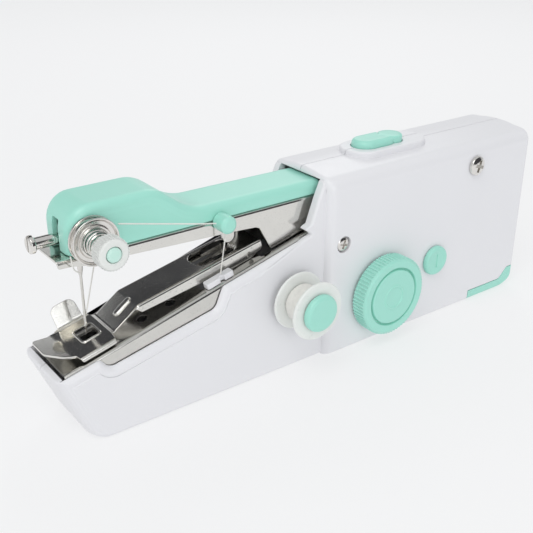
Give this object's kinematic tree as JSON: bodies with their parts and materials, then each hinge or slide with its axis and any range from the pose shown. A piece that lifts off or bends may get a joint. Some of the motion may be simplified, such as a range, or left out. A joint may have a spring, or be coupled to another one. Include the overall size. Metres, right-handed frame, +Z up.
{
  "type": "hand-held sewing machine",
  "caption": "Hand-held battery sewing machine with swinging needle arm, sloping steel bed, presser foot, bobbin, thread tension and handwheel.",
  "frame": {"origin": "bottom centre of the whole machine's bounding box; the machine stands on its flat bottom", "axes": "+X from the nose to the battery end, +Y away from the handwheel side, +Z up"},
  "size_m": [0.2098, 0.0484, 0.0775],
  "materials": {
    "white_shell": "satin moulded ABS",
    "mint_shell": "satin moulded ABS",
    "frosted_plastic": "translucent moulding",
    "sheet_steel": "polished",
    "bright_hardware": "bright plated",
    "brass": "turned",
    "nylon": "moulded",
    "black_plastic": "moulded",
    "cell_can": "printed sleeve",
    "yarn": "spun thread"
  },
  "bodies": {
    "housing": {"housing_near": "white_shell", "housing_far": "white_shell", "housing_screw_rear": "bright_hardware", "housing_screw_front": "bright_hardware", "battery_1": "cell_can", "battery_2": "cell_can", "battery_3": "cell_can", "battery_4": "cell_can", "top_contact": "bright_hardware", "motor_can": "sheet_steel", "idler_axle": "sheet_steel", "bed_channel": "sheet_steel", "thread_guide_block": "white_shell", "thread_guide_run": "yarn", "arm_pivot_pin": "sheet_steel", "presser_pin": "sheet_steel", "presser_spring": "bright_hardware", "bobbin_spring": "bright_hardware", "switch_body": "black_plastic", "adapter_socket": "black_plastic"},
    "cover": {"battery_cover": "mint_shell", "cover_contact_near": "bright_hardware", "cover_contact_far": "bright_hardware", "battery_spring_1": "bright_hardware", "battery_spring_2": "bright_hardware", "battery_spring_3": "bright_hardware", "battery_spring_4": "bright_hardware"},
    "crank": {"crankshaft": "sheet_steel", "main_gear": "nylon", "eccentric": "nylon", "handwheel": "mint_shell"},
    "idler": {"idler_gear": "nylon"},
    "rotor": {"motor_pinion": "brass", "motor_shaft": "sheet_steel"},
    "rod": {"connecting_rod": "nylon"},
    "arm": {"arm_frame": "sheet_steel", "arm_cover": "mint_shell", "tail_pin": "sheet_steel", "needle": "bright_hardware", "needle_clamp": "bright_hardware", "tension_post": "mint_shell", "tension_disc_inner": "bright_hardware", "tension_disc_outer": "bright_hardware", "tension_spring": "bright_hardware", "thread_guide_peg": "mint_shell", "thread_arm_run": "yarn", "thread_needle_run": "yarn", "thread_tail": "yarn"},
    "clamp_screw": {"needle_clamp_screw": "bright_hardware"},
    "knob": {"tension_knob": "frosted_plastic", "tension_knob_insert": "mint_shell"},
    "looper": {"looper": "sheet_steel"},
    "presser": {"presser_foot": "sheet_steel"},
    "spindle": {"bobbin_spindle": "sheet_steel", "bobbin_cap": "mint_shell"},
    "bobbin": {"bobbin": "frosted_plastic", "bobbin_thread": "yarn"},
    "power_button": {"power_button": "mint_shell"},
    "lock_button": {"lock_button": "mint_shell"},
    "plug": {"adapter_plug": "mint_shell"}
  },
  "joints": [
    {"name": "handwheel_spin", "type": "hinge", "parent": "housing", "child": "crank", "pos_m": [0.02438, 0.00705, 0.02], "axis": [0, 1, 0], "continuous": true},
    {"name": "idler_spin", "type": "hinge", "parent": "housing", "child": "idler", "pos_m": [0.03949, 0.00705, 0.02611], "axis": [0, 1, 0], "continuous": true},
    {"name": "motor_spin", "type": "hinge", "parent": "housing", "child": "rotor", "pos_m": [0.04766, 0.00705, 0.03735], "axis": [0, 1, 0], "continuous": true},
    {"name": "rod_turn", "type": "hinge", "parent": "crank", "child": "rod", "pos_m": [0.02534, 0.00705, 0.01965], "axis": [0, 1, 0], "continuous": true},
    {"name": "arm_swing", "type": "hinge", "parent": "housing", "child": "arm", "pos_m": [0.00138, 0.00705, 0.049], "axis": [0, 1, 0], "range_deg": [-6, 3], "deforming": ["thread_guide_run"]},
    {"name": "looper_swing", "type": "hinge", "parent": "housing", "child": "looper", "pos_m": [-0.10056, 0.01205, 0.02047], "axis": [0.9688, 0, 0.2478], "range_deg": [-4.5, 9]},
    {"name": "presser_lift", "type": "hinge", "parent": "housing", "child": "presser", "pos_m": [-0.03014, 0.00705, 0.04581], "axis": [0, 1, 0], "range_deg": [0, 3], "stiffness_Nm_per_rad": 0.05, "springref_deg": -17.19},
    {"name": "clamp_screw_turn", "type": "hinge", "parent": "arm", "child": "clamp_screw", "pos_m": [-0.1, 0.00705, 0.0658], "axis": [1, 0, 0], "range_deg": [-180, 180]},
    {"name": "tension_knob_turn", "type": "hinge", "parent": "arm", "child": "knob", "pos_m": [-0.08822, -0.015, 0.0672], "axis": [0, 1, 0], "range_deg": [-180, 180]},
    {"name": "spindle_pull", "type": "slide", "parent": "housing", "child": "spindle", "axis": [0, -1, 0], "range_m": [0, 0.012]},
    {"name": "bobbin_spin", "type": "hinge", "parent": "spindle", "child": "bobbin", "pos_m": [-0.01632, -0.015, 0.0284], "axis": [0, 1, 0], "continuous": true},
    {"name": "power_press", "type": "slide", "parent": "housing", "child": "power_button", "axis": [0, 0, -1], "range_m": [0, 0.002], "stiffness_N_per_m": 300, "springref_m": -0.002},
    {"name": "lock_press", "type": "slide", "parent": "housing", "child": "lock_button", "axis": [0, 0, -1], "range_m": [0, 0.0015], "stiffness_N_per_m": 300, "springref_m": -0.002},
    {"name": "plug_pull", "type": "slide", "parent": "housing", "child": "plug", "axis": [0, -1, 0], "range_m": [0, 0.01]},
    {"name": "cover_slide", "type": "slide", "parent": "housing", "child": "cover", "axis": [1, 0, 0], "range_m": [0, 0.03]}
  ],
  "couplings": [
    {"joint": "idler_spin", "follows": "handwheel_spin", "ratio": -3.5},
    {"joint": "motor_spin", "follows": "handwheel_spin", "ratio": 12.6},
    {"joint": "rod_turn", "follows": "handwheel_spin", "ratio": -1},
    {"joint": "looper_swing", "follows": "arm_swing", "ratio": -1.5}
  ]
}
